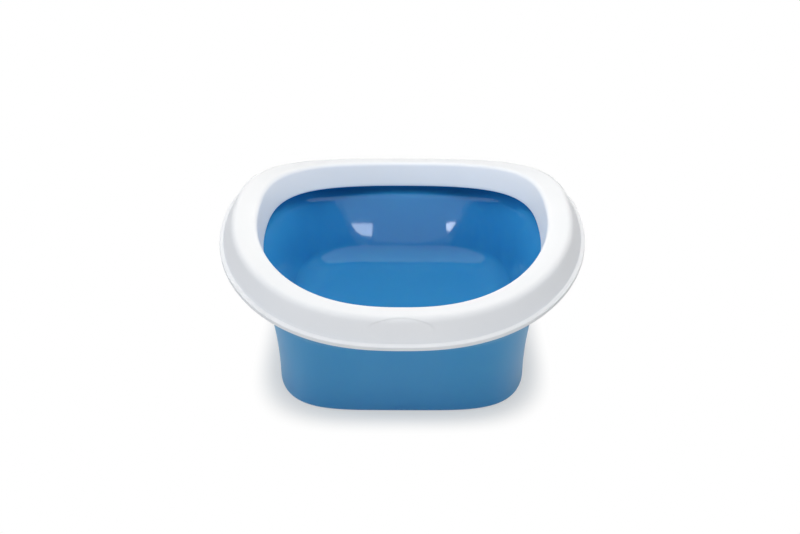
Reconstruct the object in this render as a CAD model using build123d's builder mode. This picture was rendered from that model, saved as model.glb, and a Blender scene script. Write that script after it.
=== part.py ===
# Open cat litter tray with a clip-on rim: a leaning-walled tray and a hollow, arched ring over its edge.
# Millimetres, +Z up, +Y to the back. The origin is the middle of the base, on the floor.
import os
from math import ceil, cos, pi, radians, sin

from build123d import *

# Rim, seen from above: an oval between an ellipse and a rectangle
overall_width = 310.0
overall_length = 420.0
rim_squareness = 2.43

# Rim, seen from the side: an arch, highest at the middle of the long sides
bead_height = 106.0
arch_drop = 28.0

# Rim section. Insets run inwards from the outer edge, heights up from the bottom of the outer lip.
lip_height = 3.2
ledge_inset = 2.2
ledge_height = 4.2
crown_outer_inset = 11.6
crown_outer_height = 19.4
crown_inner_inset = 30.8
crown_inner_height = 15.0
throat_inset = 36.0
throat_drop = 9.1
rim_wall = 2.0
lip_rounding = 1.2
ledge_rounding = 1.5
crown_outer_rounding = 9.0
crown_inner_rounding = 5.0
web_inset = 15.0
web_bite = 0.8

# Tray walls: outlines at the foot and at the mouth. A flare of 1 leans straight, more curls outwards.
base_inset = 51.7
base_squareness = 4.4
base_rounding = 4.0
foot_turn = 75.0
mouth_end_squareness = 3.7
mouth_side_squareness = 2.0
side_flare = 2.1
end_flare = 1.05
tray_wall = 2.2
floor_thickness = 2.5

# Tray edge: a flange that turns outwards under the crown, and then down inside the lip
flange_inset = 6.5
flange_height = 6.0
edge_height = 2.0

# How the rim sits on the tray
throat_side_room = 9.0
throat_end_room = 7.0
seat_clearance = 0.5
clip_clearance = 0.6
clip_foot = 0.2
clip_height = 1.4

# How finely curves are followed
outline_steps = 32
arc_step_length = 3.0
foot_steps = 4
wall_steps = 5
halvings = 40

half_width = overall_width / 2
half_length = overall_length / 2
arch_radius = (half_length**2 + arch_drop**2) / (2 * arch_drop)
mouth_side_inset = throat_inset - rim_wall - throat_side_room - tray_wall
mouth_end_inset = throat_inset - rim_wall - throat_end_room - tray_wall
crown_fall = (crown_outer_height - crown_inner_height) / (crown_inner_inset - crown_outer_inset)
web_top = crown_outer_height - crown_fall * (web_inset + rim_wall - crown_outer_inset) - rim_wall + web_bite
web_foot = flange_height + seat_clearance


def arch_height(y):
    """Height of the bottom of the lip above the floor, at a distance y from the middle of the side."""
    return bead_height - arch_radius + (arch_radius**2 - y**2) ** 0.5


def oval(side_inset, end_inset, end_squareness, side_squareness):
    """Points round an oval inside the rim's outline, from the middle of the right side."""
    across = half_width - side_inset
    along = half_length - end_inset
    points = []
    for step in range(outline_steps):
        angle = 2 * pi * step / outline_steps
        inside = 0.0
        outside = across + along
        for halving in range(halvings):
            radius = (inside + outside) / 2
            x = radius * cos(angle)
            y = radius * sin(angle)
            if abs(x / across) ** end_squareness + abs(y / along) ** side_squareness < 1:
                inside = radius
            else:
                outside = radius
        points.append((x, y))
    return points


def base_points(inset, height):
    """Points round the tray's foot, which lies level."""
    outline = oval(base_inset + inset, base_inset + inset, base_squareness, base_squareness)
    return [Vector(x, y, height) for x, y in outline]


def mouth_points(inset, height):
    """Points round the top of the tray's wall, which follows the arch."""
    outline = oval(
        mouth_side_inset + inset, mouth_end_inset + inset, mouth_end_squareness, mouth_side_squareness
    )
    return [Vector(x, y, arch_height(y) + height) for x, y in outline]


def rim_points(inset, height):
    """Points round the rim, which follows the arch, at a height above the bottom of the lip."""
    outline = oval(inset, inset, rim_squareness, rim_squareness)
    return [Vector(x, y, arch_height(y) + height) for x, y in outline]


def closed_ring(points):
    """Smooth closed line through points."""
    with BuildLine() as ring:
        Spline(*points, periodic=True)
    return ring.wire()


def section_rings(section):
    """Arched rings through the corners of a section, and along its arcs."""
    rings = []
    for edge in section.face().outer_wire().order_edges():
        steps = ceil(edge.length / arc_step_length) if edge.geom_type == GeomType.CIRCLE else 1
        for step in range(steps):
            corner = edge @ (step / steps)
            rings.append(closed_ring(rim_points(corner.X, corner.Y)))
    return rings


def wall_rings(inset, bottom, top):
    """Rings up one face of the tray: round its foot, then up the leaning wall to the mouth."""
    rings = []
    full_turn = radians(foot_turn)
    for step in range(foot_steps):
        turn = full_turn * step / foot_steps
        foot_inset = inset + base_rounding * (sin(full_turn) - sin(turn))
        rings.append(closed_ring(base_points(foot_inset, bottom + base_rounding * (1 - cos(turn)))))
    foot = base_points(inset, bottom + base_rounding * (1 - cos(full_turn)))
    mouth = mouth_points(inset, top)
    for step in range(wall_steps + 1):
        share = step / wall_steps
        points = []
        for low, high in zip(foot, mouth):
            lean = high - low
            points.append(low + Vector(lean.X * share**side_flare, lean.Y * share**end_flare, lean.Z * share))
        rings.append(closed_ring(points))
    return rings


# Rim section: a thin shell over the crown, a web that stands on the tray's flange, and a clip bead
with BuildSketch() as rim_section:
    with BuildLine():
        FilletPolyline(
            (0, 0),
            (0, lip_height),
            (ledge_inset, ledge_height),
            (crown_outer_inset, crown_outer_height),
            (crown_inner_inset, crown_inner_height),
            (throat_inset, -throat_drop),
            radius=[lip_rounding, ledge_rounding, crown_outer_rounding, crown_inner_rounding],
        )
        offset(amount=-rim_wall, side=Side.RIGHT)
    make_face()
    with Locations((web_inset, web_foot)):
        Rectangle(rim_wall, web_top - web_foot, align=(Align.MIN, Align.MIN))
    with BuildLine():
        Polyline(
            (rim_wall / 2, clip_foot),
            (rim_wall, clip_foot),
            (flange_inset - clip_clearance, clip_foot + clip_height / 2),
            (rim_wall, clip_foot + clip_height),
            (rim_wall / 2, clip_foot + clip_height),
            close=True,
        )
    make_face()

# Rim: the section carried round the arched oval
rim_lines = section_rings(rim_section)
rim_skin = Shell(Shell.make_loft(rim_lines + rim_lines[:1], ruled=True).faces())
with BuildPart() as rim:
    add(Solid(rim_skin))

# Tray: up the outside, over the turned edge and down the inside to the floor
outside_lines = wall_rings(0, 0, flange_height - tray_wall)
edge_lines = [
    closed_ring(rim_points(flange_inset + tray_wall, flange_height - tray_wall)),
    closed_ring(rim_points(flange_inset + tray_wall, edge_height)),
    closed_ring(rim_points(flange_inset, edge_height)),
    closed_ring(rim_points(flange_inset, flange_height)),
]
inside_lines = wall_rings(tray_wall, floor_thickness, flange_height)
with BuildPart() as tray:
    add(Solid.make_loft(outside_lines + edge_lines + inside_lines[::-1], ruled=True))

tray.part.label = "tray"
rim.part.label = "rim"

os.makedirs("parts", exist_ok=True)
export_step(tray.part, "parts/tray.step")
export_step(rim.part, "parts/rim.step")
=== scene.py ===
from math import atan2, ceil, cos, hypot, pi, radians, sin, tan

import bpy
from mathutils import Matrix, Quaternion, Vector


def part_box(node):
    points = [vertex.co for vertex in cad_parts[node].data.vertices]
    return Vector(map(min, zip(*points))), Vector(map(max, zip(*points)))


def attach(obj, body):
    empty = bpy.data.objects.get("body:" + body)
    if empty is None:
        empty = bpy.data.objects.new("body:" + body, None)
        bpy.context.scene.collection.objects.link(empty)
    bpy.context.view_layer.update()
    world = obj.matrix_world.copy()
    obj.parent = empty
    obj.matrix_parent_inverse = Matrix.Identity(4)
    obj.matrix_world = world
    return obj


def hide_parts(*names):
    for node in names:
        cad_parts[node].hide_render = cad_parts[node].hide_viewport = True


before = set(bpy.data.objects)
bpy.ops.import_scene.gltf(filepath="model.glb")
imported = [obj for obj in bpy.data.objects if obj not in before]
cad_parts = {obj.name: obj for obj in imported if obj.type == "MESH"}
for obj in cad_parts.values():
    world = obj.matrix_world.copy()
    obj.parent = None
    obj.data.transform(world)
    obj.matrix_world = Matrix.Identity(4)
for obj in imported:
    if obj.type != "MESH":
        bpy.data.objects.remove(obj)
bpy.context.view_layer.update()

MM = 0.001

# Outline of the rim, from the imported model, in millimetres
rim_low, rim_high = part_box("rim")
HALF_WIDTH = (rim_high[0] - rim_low[0]) / 2 / MM
HALF_LENGTH = (rim_high[1] - rim_low[1]) / 2 / MM
RIM_SQUARENESS = 2.43

# Arch of the rim, highest at the middle of the long sides
BEAD_HEIGHT = 106.0
ARCH_DROP = 28.0
ARCH_RADIUS = (HALF_LENGTH**2 + ARCH_DROP**2) / (2 * ARCH_DROP)

# Walls of the two mouldings
RIM_WALL = 2.0
TRAY_WALL = 2.2
FLOOR_THICKNESS = 2.5

# Rim section, seen side: inset from the outer edge, height above the bottom of the lip, rounding
LIP_BOTTOM = (0.0, 0.0, 0.6)
LIP_TOP = (0.0, 3.1, 0.5)
LEDGE = (3.2, 3.5, 0.3)
CROWN_OUTER = (11.6, 18.85, 5.5)
CROWN_INNER = (30.8, 15.0, 5.0)
THROAT = (36.0, -9.1, 0.6)

# Rim section, hidden side: the shell's back, the web that stands on the flange, and the clip bead
THROAT_BACK = (34.0, -9.1, 0.4)
CROWN_BACK = (29.0, 13.2, 3.0)
WEB_INSET = 15.0
WEB_FOOT = 6.5
WEB_TOP = 16.2
CROWN_UNDER = (11.6, 15.4, 4.0)
LEDGE_BACK = (3.9, 2.5, 0.4)
LIP_BACK_HEIGHT = 1.9
CLIP_FOOT = 0.2
CLIP_TIP = (5.9, 0.9, 0.3)
CLIP_TOP = 1.6
HIDDEN_ROUNDING = 0.1
FOOT_ROUNDING = 0.05

# Tray foot: its inset from the rim's outer edge, and the roundings outside and inside
BASE_INSET = 51.7
BASE_SQUARENESS = 4.4
BASE_ROUNDING = 4.0
FLOOR_ROUNDING = 24.0
FOOT_TURN = radians(75)

# Tray mouth, and how the wall goes up to it. A flare of 1 leans straight, more curls outwards.
MOUTH_SIDE_INSET = 22.8
MOUTH_END_INSET = 24.8
MOUTH_END_SQUARENESS = 3.7
MOUTH_SIDE_SQUARENESS = 2.0
SIDE_FLARE = 2.1
END_FLARE = 1.05

# Shoulder of the end walls: how far it steps out, and where it starts and ends as a share of the wall
SHOULDER = 6.0
SHOULDER_START = 0.69
SHOULDER_END = 0.83

# Tray edge: a flange that turns outwards under the crown, and then down inside the lip
FLANGE_INSET = 6.5
FLANGE_HEIGHT = 6.0
EDGE_HEIGHT = 2.0

# Bare oval face on the front of the skirt. Its edge is a share of its radius.
OVAL_HALF_WIDTH = 25.5
OVAL_HALF_HEIGHT = 7.0
OVAL_HEIGHT = 11.2
OVAL_DEPTH = 0.5
OVAL_EDGE = 0.09

# Mesh spacing. The cap is a ring just inside the edge of a flat, which keeps its shading flat.
RING_POINTS = 240
HALVINGS = 26
ARC_STEP = radians(12)
ARC_LENGTH = 0.4
SKIRT_STEP = 2.0
WALL_STEP = 2.5
OVAL_CUTS = 7
CAP_SHARE = 0.985
SMOOTH_ANGLE = radians(35)

# Polypropylene: all the light that isn't mirrored seeps evenly under the skin, to a depth in millimetres
POLYPROPYLENE_IOR = 1.49
SEEP_WEIGHT = 1.0
SEEP_EVENLY = (1.0, 1.0, 1.0)
WHITE_SEEP = 0.8
BLUE_SEEP = 2.0

# White plastic: two close tones in clouds, and a fine grain. Sizes and depths are in millimetres.
WHITE_DEEP = "#E6E9EC"
WHITE_PALE = "#EBEDEF"
CLOUD_SIZE = 60.0
CLOUD_DETAIL = 2
SATIN_SMOOTH = 0.36
SATIN_ROUGH = 0.44
GRAIN_SIZE = 0.9
GRAIN_DETAIL = 3
GRAIN_STRENGTH = 0.06
GRAIN_DEPTH = 0.1

# Blue plastic: two close tones on each face, polished inside and satin outside, with a slight waviness. The
# outside's tones are paler, a painted reflection of the white floor.
INSIDE_DEEP = "#338FC7"
INSIDE_PALE = "#3793CB"
OUTSIDE_DEEP_PAINTED_REFLECTION = "#4499CC"
OUTSIDE_PALE_PAINTED_REFLECTION = "#489DD0"
INSIDE_ROUGHNESS = 0.02
OUTSIDE_ROUGHNESS = 0.45
ROUGHNESS_DRIFT = 0.04
FLOW_SIZE = 80.0
FLOW_DETAIL = 2
PEEL_SIZE = 14.0
PEEL_DETAIL = 1
PEEL_STRENGTH = 0.05
PEEL_DEPTH = 0.2

# Sockets of a colour mix, whose names other kinds of mix share
MIX_SHARE = 0
MIX_FIRST = 6
MIX_SECOND = 7
MIX_RESULT = 2

# Stage, in metres, and where the shadow fades, as shares of the tray's base
FLOOR_SIZE = 8.0
FLOOR_COLOUR = "#F8EFE2"
SHADOW_START = 1.0
SHADOW_END = 1.24
SHADOW_SQUARENESS = 4.0
SHADOW_VEIL = 0.5

# White studio all round, and its level as a light, where 1 is how bright it looks
PLAIN_WHITE = (1.0, 1.0, 1.0, 1.0)
WORLD_LEVEL = 0.19

# Lamps: places, targets and sizes in metres, power in watts
WARM = "#FFFBF5"
COOL = "#E6EFFF"
BASE = (0.0, 0.0, 0.0)
MIDDLE = (0.0, 0.0, 0.08)
OVERHEAD = {"place": (0.0, 0.001, 0.44), "target": BASE, "size": (0.12, 0.5), "power": 1.0, "colour": WARM}
KEY = {"place": (0.0, -0.45, 1.2), "target": MIDDLE, "size": (0.5, 0.5), "power": 3.9, "colour": WARM}
FRONT = {"place": (0.0, -1.35, 0.14), "target": MIDDLE, "size": (0.9, 0.1), "power": 2.3, "colour": COOL}
BACK = {"place": (0.0, 1.0, 0.9), "target": MIDDLE, "size": (0.8, 0.5), "power": 0.7, "colour": COOL}
LEFT = {"place": (-1.2, 0.0, 0.6), "target": MIDDLE, "size": (0.6, 0.6), "power": 4.2, "colour": COOL}
RIGHT = {"place": (1.2, 0.0, 0.6), "target": MIDDLE, "size": (0.6, 0.6), "power": 2.6, "colour": COOL}

# Lamps that show as the two glints, each on the side of the back wall across from it, and their roll
GLINT_RIGHT = {
    "place": (0.36, -1.23, 0.338),
    "target": (-0.046, 0.162, 0.033),
    "size": (0.6, 0.055),
    "power": 0.9,
    "colour": COOL,
}
GLINT_LEFT = {
    "place": (-0.53, -1.2, 0.326),
    "target": (0.05, 0.162, 0.033),
    "size": (0.46, 0.045),
    "power": 0.9,
    "colour": COOL,
}
GLINT_ROLL = radians(10.5)

# Camera: place in metres, lens and sensor in millimetres
CAMERA_PLACE = (0.006, -1.0563, 0.4866)
CAMERA_TURN = (radians(68), 0, radians(0.44))
CAMERA_LENS = 57.7
CAMERA_SENSOR = 36.0


def linear(hex_colour):
    """sRGB hex to the linear colour that shaders take."""
    channels = [int(hex_colour[i : i + 2], 16) / 255 for i in (1, 3, 5)]
    return [c / 12.92 if c <= 0.04045 else ((c + 0.055) / 1.055) ** 2.4 for c in channels] + [1.0]


def between(start, end, share):
    """Value a share of the way from one to another."""
    return start + (end - start) * share


def eased(share):
    """Share from 0 to 1 that starts and ends gently."""
    return share * share * (3 - 2 * share)


def oval(side_inset, end_inset, end_squareness, side_squareness):
    """Points round an oval that lies inside the rim's outline, from the middle of the right side."""
    across = HALF_WIDTH - side_inset
    along = HALF_LENGTH - end_inset
    points = []
    for step in range(RING_POINTS):
        angle = 2 * pi * step / RING_POINTS
        inside = 0.0
        outside = across + along
        for halving in range(HALVINGS):
            radius = (inside + outside) / 2
            x = radius * cos(angle)
            y = radius * sin(angle)
            if abs(x / across) ** end_squareness + abs(y / along) ** side_squareness < 1:
                inside = radius
            else:
                outside = radius
        points.append((x, y))
    return points


def arch_height(y):
    """Height of the bottom of the lip above the floor."""
    return BEAD_HEIGHT - ARCH_RADIUS + (ARCH_RADIUS**2 - y**2) ** 0.5


def rim_ring(inset, height):
    """Outline of the rim, which follows its arch, at a height above the bottom of the lip."""
    outline = oval(inset, inset, RIM_SQUARENESS, RIM_SQUARENESS)
    return [(x, y, arch_height(y) + height) for x, y in outline]


def base_ring(inset, height):
    """Outline of the tray's foot, which lies level."""
    outline = oval(BASE_INSET + inset, BASE_INSET + inset, BASE_SQUARENESS, BASE_SQUARENESS)
    return [(x, y, height) for x, y in outline]


def mouth_ring(inset, height):
    """Outline of the top of the tray's wall, which follows the arch."""
    outline = oval(
        MOUTH_SIDE_INSET + inset, MOUTH_END_INSET + inset, MOUTH_END_SQUARENESS, MOUTH_SIDE_SQUARENESS
    )
    return [(x, y, arch_height(y) + height) for x, y in outline]


def rounded(corners):
    """Points round a closed section whose corners are (inset, height, rounding)."""
    points = []
    for number, (x, y, rounding) in enumerate(corners):
        before = corners[number - 1]
        after = corners[(number + 1) % len(corners)]
        start = atan2(before[1] - y, before[0] - x)
        opening = (atan2(after[1] - y, after[0] - x) - start + pi) % (2 * pi) - pi
        half = abs(opening) / 2
        reach = rounding / tan(half)
        middle = start + opening / 2
        centre_x = x + rounding / sin(half) * cos(middle)
        centre_y = y + rounding / sin(half) * sin(middle)
        first = atan2(y + reach * sin(start) - centre_y, x + reach * cos(start) - centre_x)
        turn = (pi - abs(opening)) * (-1 if opening > 0 else 1)
        steps = max(2, min(ceil(abs(turn) / ARC_STEP), ceil(rounding * abs(turn) / ARC_LENGTH)))
        for step in range(steps + 1):
            angle = first + turn * step / steps
            points.append((centre_x + rounding * cos(angle), centre_y + rounding * sin(angle)))
    return points


def divided(points, longest):
    """Section points with the long straight runs divided."""
    result = []
    for number, end in enumerate(points):
        start = points[number - 1]
        steps = max(1, ceil(hypot(end[0] - start[0], end[1] - start[1]) / longest))
        for step in range(1, steps + 1):
            share = step / steps
            result.append((between(start[0], end[0], share), between(start[1], end[1], share)))
    return result


def extruded_shell(name, rings, closed):
    """Adds a ring of edges, extrudes it from outline to outline, and closes the skin."""
    bpy.ops.object.select_all(action="DESELECT")
    bpy.ops.mesh.primitive_circle_add(vertices=RING_POINTS, radius=HALF_WIDTH * MM)
    shell = bpy.context.object
    shell.name = name
    shell.data.name = name
    bpy.ops.object.mode_set(mode="EDIT")
    bpy.ops.mesh.select_all(action="SELECT")
    for ring in rings[1:]:
        bpy.ops.mesh.extrude_edges_move(TRANSFORM_OT_translate={"value": (0, 0, MM)})
    bpy.ops.object.mode_set(mode="OBJECT")
    for vertex in shell.data.vertices:
        row, column = divmod(vertex.index, RING_POINTS)
        vertex.co = [c * MM for c in rings[row][column]]
    bpy.ops.object.mode_set(mode="EDIT")
    bpy.ops.mesh.select_all(action="DESELECT")
    bpy.ops.mesh.select_mode(type="EDGE")
    bpy.ops.mesh.select_non_manifold()
    if closed:
        bpy.ops.mesh.bridge_edge_loops()
    else:
        bpy.ops.mesh.fill_holes(sides=0)
    bpy.ops.mesh.select_all(action="SELECT")
    bpy.ops.mesh.normals_make_consistent(inside=False)
    bpy.ops.object.mode_set(mode="OBJECT")
    bpy.ops.object.shade_smooth_by_angle(angle=SMOOTH_ANGLE)
    return shell


def in_oval(point):
    """How far inside the oval on the front skirt a point lies: 0 at its edge or off it, 1 in its middle."""
    x, y, z = (c / MM for c in point)
    height = z - arch_height(y)
    return max(0.0, 1 - hypot(x / OVAL_HALF_WIDTH, (height - OVAL_HEIGHT) / OVAL_HALF_HEIGHT))


def press_oval(rim, skirt_rows):
    """Divides the front of the skirt finely and presses the bare oval into it, deepest at the top."""
    mesh = rim.data
    half_patch = (OVAL_HALF_WIDTH + SKIRT_STEP) * MM
    bpy.ops.object.mode_set(mode="EDIT")
    bpy.ops.mesh.select_mode(type="FACE")
    bpy.ops.mesh.select_all(action="DESELECT")
    bpy.ops.object.mode_set(mode="OBJECT")
    for face in mesh.polygons:
        on_skirt = all(i // RING_POINTS in skirt_rows for i in face.vertices)
        face.select = on_skirt and face.center.y < 0 and abs(face.center.x) < half_patch
    bpy.ops.object.mode_set(mode="EDIT")
    bpy.ops.mesh.subdivide(number_cuts=OVAL_CUTS)
    bpy.ops.object.mode_set(mode="OBJECT")
    chosen = [vertex for vertex in mesh.vertices if vertex.select]
    directions = [vertex.normal.copy() for vertex in chosen]
    for vertex, direction in zip(chosen, directions):
        share = min(1.0, in_oval(vertex.co) / OVAL_EDGE)
        height = vertex.co.z / MM - arch_height(vertex.co.y / MM)
        deep = (height - OVAL_HEIGHT + OVAL_HALF_HEIGHT) / (2 * OVAL_HALF_HEIGHT)
        vertex.co -= direction * (OVAL_DEPTH * MM * max(0.0, deep) * eased(share))


def make_rim():
    """White ring: lip, ledge, skirt, crown and throat outside, web and clip bead inside."""
    corners = [
        LIP_BOTTOM,
        LIP_TOP,
        LEDGE,
        CROWN_OUTER,
        CROWN_INNER,
        THROAT,
        THROAT_BACK,
        CROWN_BACK,
        (WEB_INSET + RIM_WALL, WEB_TOP, HIDDEN_ROUNDING),
        (WEB_INSET + RIM_WALL, WEB_FOOT, HIDDEN_ROUNDING),
        (WEB_INSET, WEB_FOOT, HIDDEN_ROUNDING),
        (WEB_INSET, WEB_TOP, HIDDEN_ROUNDING),
        CROWN_UNDER,
        LEDGE_BACK,
        (RIM_WALL, LIP_BACK_HEIGHT, HIDDEN_ROUNDING),
        (RIM_WALL, CLIP_TOP, HIDDEN_ROUNDING),
        CLIP_TIP,
        (RIM_WALL, CLIP_FOOT, FOOT_ROUNDING),
        (RIM_WALL, 0.0, FOOT_ROUNDING),
    ]
    section = divided(rounded(corners), SKIRT_STEP)
    rim = extruded_shell("rim_shell", [rim_ring(inset, height) for inset, height in section], True)
    skirt_rows = [
        row
        for row, (inset, height) in enumerate(section)
        if height > LEDGE[1] and inset < WEB_INSET and row < len(section) / 2
    ]
    press_oval(rim, skirt_rows)
    return rim


def wall_point(low, high, share):
    """Point on the way up from the foot to the mouth. The ends step out to a shoulder under the rim."""
    rise = min(1.0, max(0.0, (share - SHOULDER_START) / (SHOULDER_END - SHOULDER_START)))
    x = between(low[0], high[0], share**SIDE_FLARE)
    y = between(low[1], high[1], share**END_FLARE)
    z = between(low[2], high[2], share)
    stepped = y * (1 + SHOULDER * eased(rise) / (HALF_LENGTH - MOUTH_END_INSET))
    return x, stepped, z + arch_height(stepped) - arch_height(y)


def wall_rings(inset, bottom, top, rounding):
    """Rings up one face of the tray: the cap of its flat, the rounding, and the wall up to the mouth.

    The start is the share of the wall that a rounding larger than the foot's takes up.
    """
    foot = base_ring(inset, bottom + BASE_ROUNDING * (1 - cos(FOOT_TURN)))
    mouth = mouth_ring(inset, top)
    start = (rounding - BASE_ROUNDING) * (1 - cos(FOOT_TURN)) / BEAD_HEIGHT
    turned = [wall_point(low, high, start) for low, high in zip(foot, mouth)]
    flat = base_ring(inset + rounding * sin(FOOT_TURN), bottom)
    rings = [[(x * CAP_SHARE, y * CAP_SHARE, z) for x, y, z in flat]]
    foot_steps = ceil(FOOT_TURN / ARC_STEP)
    for step in range(foot_steps):
        turn = FOOT_TURN * step / foot_steps
        out = sin(turn) / sin(FOOT_TURN)
        up = (1 - cos(turn)) / (1 - cos(FOOT_TURN))
        rings.append(
            [
                (between(a[0], b[0], out), between(a[1], b[1], out), between(a[2], b[2], up))
                for a, b in zip(flat, turned)
            ]
        )
    wall_steps = ceil(BEAD_HEIGHT / WALL_STEP)
    for step in range(wall_steps + 1):
        share = between(start, 1, step / wall_steps)
        rings.append([wall_point(low, high, share) for low, high in zip(foot, mouth)])
    return rings


def make_tray():
    """Blue tray: outside wall, flange with its turned-down edge, and inside wall, as one closed skin."""
    outside = wall_rings(0, 0, FLANGE_HEIGHT - TRAY_WALL, BASE_ROUNDING)
    inside = wall_rings(TRAY_WALL, FLOOR_THICKNESS, FLANGE_HEIGHT, FLOOR_ROUNDING)
    edge = [
        rim_ring(FLANGE_INSET + TRAY_WALL, FLANGE_HEIGHT - TRAY_WALL),
        rim_ring(FLANGE_INSET + TRAY_WALL, EDGE_HEIGHT),
        rim_ring(FLANGE_INSET, EDGE_HEIGHT),
        rim_ring(FLANGE_INSET, FLANGE_HEIGHT),
    ]
    tray = extruded_shell("tray_shell", outside + edge + inside[::-1], False)
    # Mark of the outside face, which is rougher and painted paler there as a reflection of the white floor
    satin = tray.data.attributes.new("satin", "FLOAT", "POINT")
    for vertex, mark in zip(tray.data.vertices, satin.data):
        mark.value = 1.0 if vertex.index // RING_POINTS < len(outside) else 0.0
    return tray


def add_node(tree, kind, settings=None, inputs=None):
    """Adds a node, sets its properties, and fills or links its inputs."""
    node = tree.nodes.new(kind)
    for name, value in (settings or {}).items():
        setattr(node, name, value)
    for name, value in (inputs or {}).items():
        if isinstance(value, bpy.types.NodeSocket):
            tree.links.new(value, node.inputs[name])
        else:
            node.inputs[name].default_value = value
    return node


def new_material(name):
    """Empty node material with its output node."""
    material = bpy.data.materials.new(name)
    material.use_nodes = True
    material.node_tree.nodes.clear()
    return material, material.node_tree, add_node(material.node_tree, "ShaderNodeOutputMaterial")


def object_place(tree):
    """Place on the piece, in its own coordinates."""
    return add_node(tree, "ShaderNodeTexCoord").outputs["Object"]


def noise(tree, place, size, detail):
    """Soft noise with features of a size in millimetres."""
    inputs = {"Vector": place, "Scale": 1 / (size * MM), "Detail": detail}
    return add_node(tree, "ShaderNodeTexNoise", None, inputs).outputs["Fac"]


def bumped(tree, height, strength, depth):
    """Surface direction over a fine relief of a depth in millimetres."""
    inputs = {"Height": height, "Strength": strength, "Distance": depth * MM}
    return add_node(tree, "ShaderNodeBump", None, inputs).outputs["Normal"]


def mixed_colour(tree, share, first, second):
    """Colour a share of the way from one to another."""
    inputs = {MIX_SHARE: share, MIX_FIRST: first, MIX_SECOND: second}
    return add_node(tree, "ShaderNodeMix", {"data_type": "RGBA"}, inputs).outputs[MIX_RESULT]


def spread(tree, value, low, high):
    """Value from 0 to 1, spread between two others."""
    inputs = {"Value": value, "To Min": low, "To Max": high}
    return add_node(tree, "ShaderNodeMapRange", None, inputs).outputs["Result"]


def worked_out(tree, operation, *values):
    """Result of one step of arithmetic on numbers or sockets."""
    inputs = dict(enumerate(values))
    return add_node(tree, "ShaderNodeMath", {"operation": operation}, inputs).outputs["Value"]


def polypropylene(tree, output, colour, roughness, seep, normal):
    """Moulded polypropylene: a skin that mirrors, over a body that light seeps through."""
    shader = add_node(
        tree,
        "ShaderNodeBsdfPrincipled",
        None,
        {
            "Base Color": colour,
            "Roughness": roughness,
            "IOR": POLYPROPYLENE_IOR,
            "Subsurface Weight": SEEP_WEIGHT,
            "Subsurface Radius": SEEP_EVENLY,
            "Subsurface Scale": seep * MM,
            "Normal": normal,
        },
    )
    tree.links.new(shader.outputs["BSDF"], output.inputs["Surface"])


def white_polypropylene():
    """White polypropylene moulded in a satin tool: a soft sheen and a fine grain."""
    material, tree, output = new_material("white satin polypropylene")
    place = object_place(tree)
    cloud = noise(tree, place, CLOUD_SIZE, CLOUD_DETAIL)
    colour = mixed_colour(tree, cloud, linear(WHITE_DEEP), linear(WHITE_PALE))
    sheen = spread(tree, cloud, SATIN_SMOOTH, SATIN_ROUGH)
    grain = noise(tree, place, GRAIN_SIZE, GRAIN_DETAIL)
    normal = bumped(tree, grain, GRAIN_STRENGTH, GRAIN_DEPTH)
    polypropylene(tree, output, colour, sheen, WHITE_SEEP, normal)
    return material


def blue_polypropylene():
    """Blue polypropylene: polished inside, satin outside and painted a little paler there as a reflection of
    the white floor, with a faint flow of colour.
    """
    material, tree, output = new_material("blue gloss polypropylene")
    place = object_place(tree)
    flow = noise(tree, place, FLOW_SIZE, FLOW_DETAIL)
    # The outside mark makes that face rougher and picks its paler tones, a painted reflection of the white
    # floor
    outside = add_node(tree, "ShaderNodeAttribute", {"attribute_name": "satin"}).outputs["Fac"]
    deep = mixed_colour(tree, outside, linear(INSIDE_DEEP), linear(OUTSIDE_DEEP_PAINTED_REFLECTION))
    pale = mixed_colour(tree, outside, linear(INSIDE_PALE), linear(OUTSIDE_PALE_PAINTED_REFLECTION))
    colour = mixed_colour(tree, flow, deep, pale)
    polish = spread(tree, outside, INSIDE_ROUGHNESS, OUTSIDE_ROUGHNESS)
    roughness = worked_out(tree, "MULTIPLY_ADD", flow, ROUGHNESS_DRIFT, polish)
    peel = noise(tree, place, PEEL_SIZE, PEEL_DETAIL)
    normal = bumped(tree, peel, PEEL_STRENGTH, PEEL_DEPTH)
    polypropylene(tree, output, colour, roughness, BLUE_SEEP, normal)
    return material


def seen_ray(tree):
    """1 for rays that show the backdrop itself, to the camera, in a reflection or through a clear piece."""
    path = add_node(tree, "ShaderNodeLightPath")
    mirrored = worked_out(tree, "ADD", path.outputs["Is Camera Ray"], path.outputs["Is Glossy Ray"])
    shown = add_node(
        tree,
        "ShaderNodeMath",
        {"operation": "ADD", "use_clamp": True},
        {0: mirrored, 1: path.outputs["Is Transmission Ray"]},
    )
    return shown.outputs["Value"]


def base_reach(tree):
    """Distance from the middle of the floor, as a share of the tray's base, which counts as a soft oblong."""
    base = ((HALF_WIDTH - BASE_INSET) * MM, (HALF_LENGTH - BASE_INSET) * MM, 1.0)
    share = add_node(tree, "ShaderNodeVectorMath", {"operation": "DIVIDE"}, {0: object_place(tree), 1: base})
    size = add_node(tree, "ShaderNodeVectorMath", {"operation": "ABSOLUTE"}, {0: share.outputs["Vector"]})
    axes = add_node(tree, "ShaderNodeSeparateXYZ", None, {"Vector": size.outputs["Vector"]})
    across = worked_out(tree, "POWER", axes.outputs["X"], SHADOW_SQUARENESS)
    along = worked_out(tree, "POWER", axes.outputs["Y"], SHADOW_SQUARENESS)
    return worked_out(tree, "POWER", worked_out(tree, "ADD", across, along), 1 / SHADOW_SQUARENESS)


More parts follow.
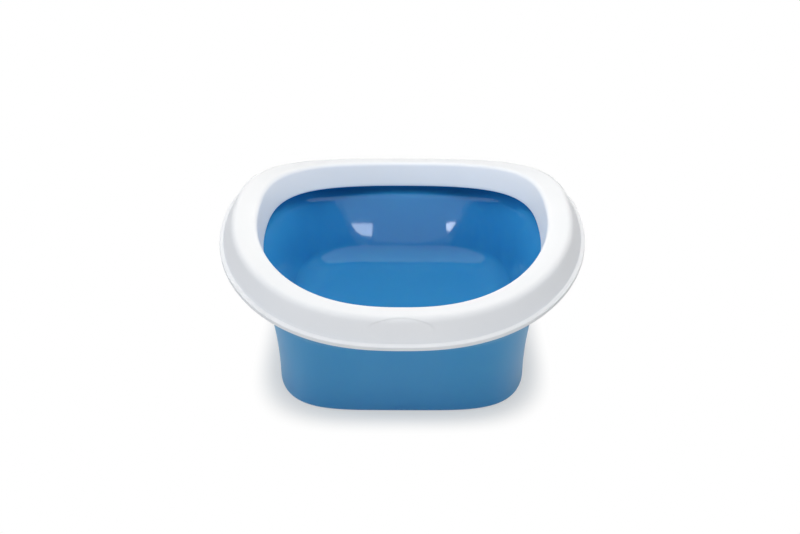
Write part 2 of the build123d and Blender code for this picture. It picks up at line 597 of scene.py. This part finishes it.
def make_floor():
    """White floor: it keeps the shadow round the base, and is plain white to the camera further out."""
    bpy.ops.object.select_all(action="DESELECT")
    bpy.ops.mesh.primitive_plane_add(size=FLOOR_SIZE)
    floor = bpy.context.object
    floor.name = "studio_floor"
    material, tree, output = new_material("white studio floor")
    far = add_node(
        tree,
        "ShaderNodeMapRange",
        {"interpolation_type": "SMOOTHSTEP"},
        {
            "Value": base_reach(tree),
            "From Min": SHADOW_START,
            "From Max": SHADOW_END,
            "To Min": SHADOW_VEIL,
            "To Max": 1.0,
        },
    )
    seen = worked_out(tree, "MULTIPLY", far.outputs["Result"], seen_ray(tree))
    diffuse = add_node(tree, "ShaderNodeBsdfDiffuse", None, {"Color": linear(FLOOR_COLOUR)})
    white = add_node(tree, "ShaderNodeEmission", None, {"Color": PLAIN_WHITE, "Strength": 1.0})
    mix = add_node(
        tree,
        "ShaderNodeMixShader",
        None,
        {0: seen, 1: diffuse.outputs["BSDF"], 2: white.outputs["Emission"]},
    )
    tree.links.new(mix.outputs["Shader"], output.inputs["Surface"])
    floor.data.materials.append(material)


def make_world():
    """White studio all round: plain white to the camera and in reflections, softer as a light."""
    world = bpy.data.worlds.new("studio")
    bpy.context.scene.world = world
    world.use_nodes = True
    tree = world.node_tree
    tree.nodes.clear()
    level = spread(tree, seen_ray(tree), WORLD_LEVEL, 1.0)
    sky = add_node(tree, "ShaderNodeBackground", None, {"Color": PLAIN_WHITE, "Strength": level})
    output = add_node(tree, "ShaderNodeOutputWorld")
    tree.links.new(sky.outputs["Background"], output.inputs["Surface"])


def add_softbox(name, lamp, reflected=False, roll=0.0):
    """Rectangular soft lamp that faces its target, rolled about its own axis."""
    light = bpy.data.lights.new(name, "AREA")
    light.shape = "RECTANGLE"
    light.size, light.size_y = lamp["size"]
    light.energy = lamp["power"]
    light.color = linear(lamp["colour"])[:3]
    box = bpy.data.objects.new(name, light)
    bpy.context.scene.collection.objects.link(box)
    box.location = lamp["place"]
    facing = (Vector(lamp["target"]) - Vector(lamp["place"])).to_track_quat("-Z", "Y")
    box.rotation_euler = (facing @ Quaternion((0, 0, 1), roll)).to_euler()
    box.visible_glossy = reflected
    box.visible_camera = False


def make_lights():
    """Soft lamps all round that don't show in reflections, and the two that do."""
    add_softbox("overhead", OVERHEAD)
    add_softbox("key", KEY)
    add_softbox("front", FRONT)
    add_softbox("back", BACK)
    add_softbox("left", LEFT)
    add_softbox("right", RIGHT)
    add_softbox("glint_right", GLINT_RIGHT, True, -GLINT_ROLL)
    add_softbox("glint_left", GLINT_LEFT, True, GLINT_ROLL)


def make_camera():
    """Camera at the photograph's place: in front, looking down along the tray."""
    lens = bpy.data.cameras.new("camera")
    lens.sensor_width = CAMERA_SENSOR
    lens.lens = CAMERA_LENS
    camera = bpy.data.objects.new("camera", lens)
    bpy.context.scene.collection.objects.link(camera)
    camera.location = CAMERA_PLACE
    camera.rotation_euler = CAMERA_TURN
    bpy.context.scene.camera = camera


tray_shell = make_tray()
tray_shell.data.materials.append(blue_polypropylene())
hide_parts("tray")
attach(tray_shell, "tray")

rim_shell = make_rim()
rim_shell.data.materials.append(white_polypropylene())
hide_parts("rim")
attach(rim_shell, "rim")

make_floor()
make_world()
make_lights()
make_camera()
bpy.context.scene.view_settings.view_transform = "Standard"
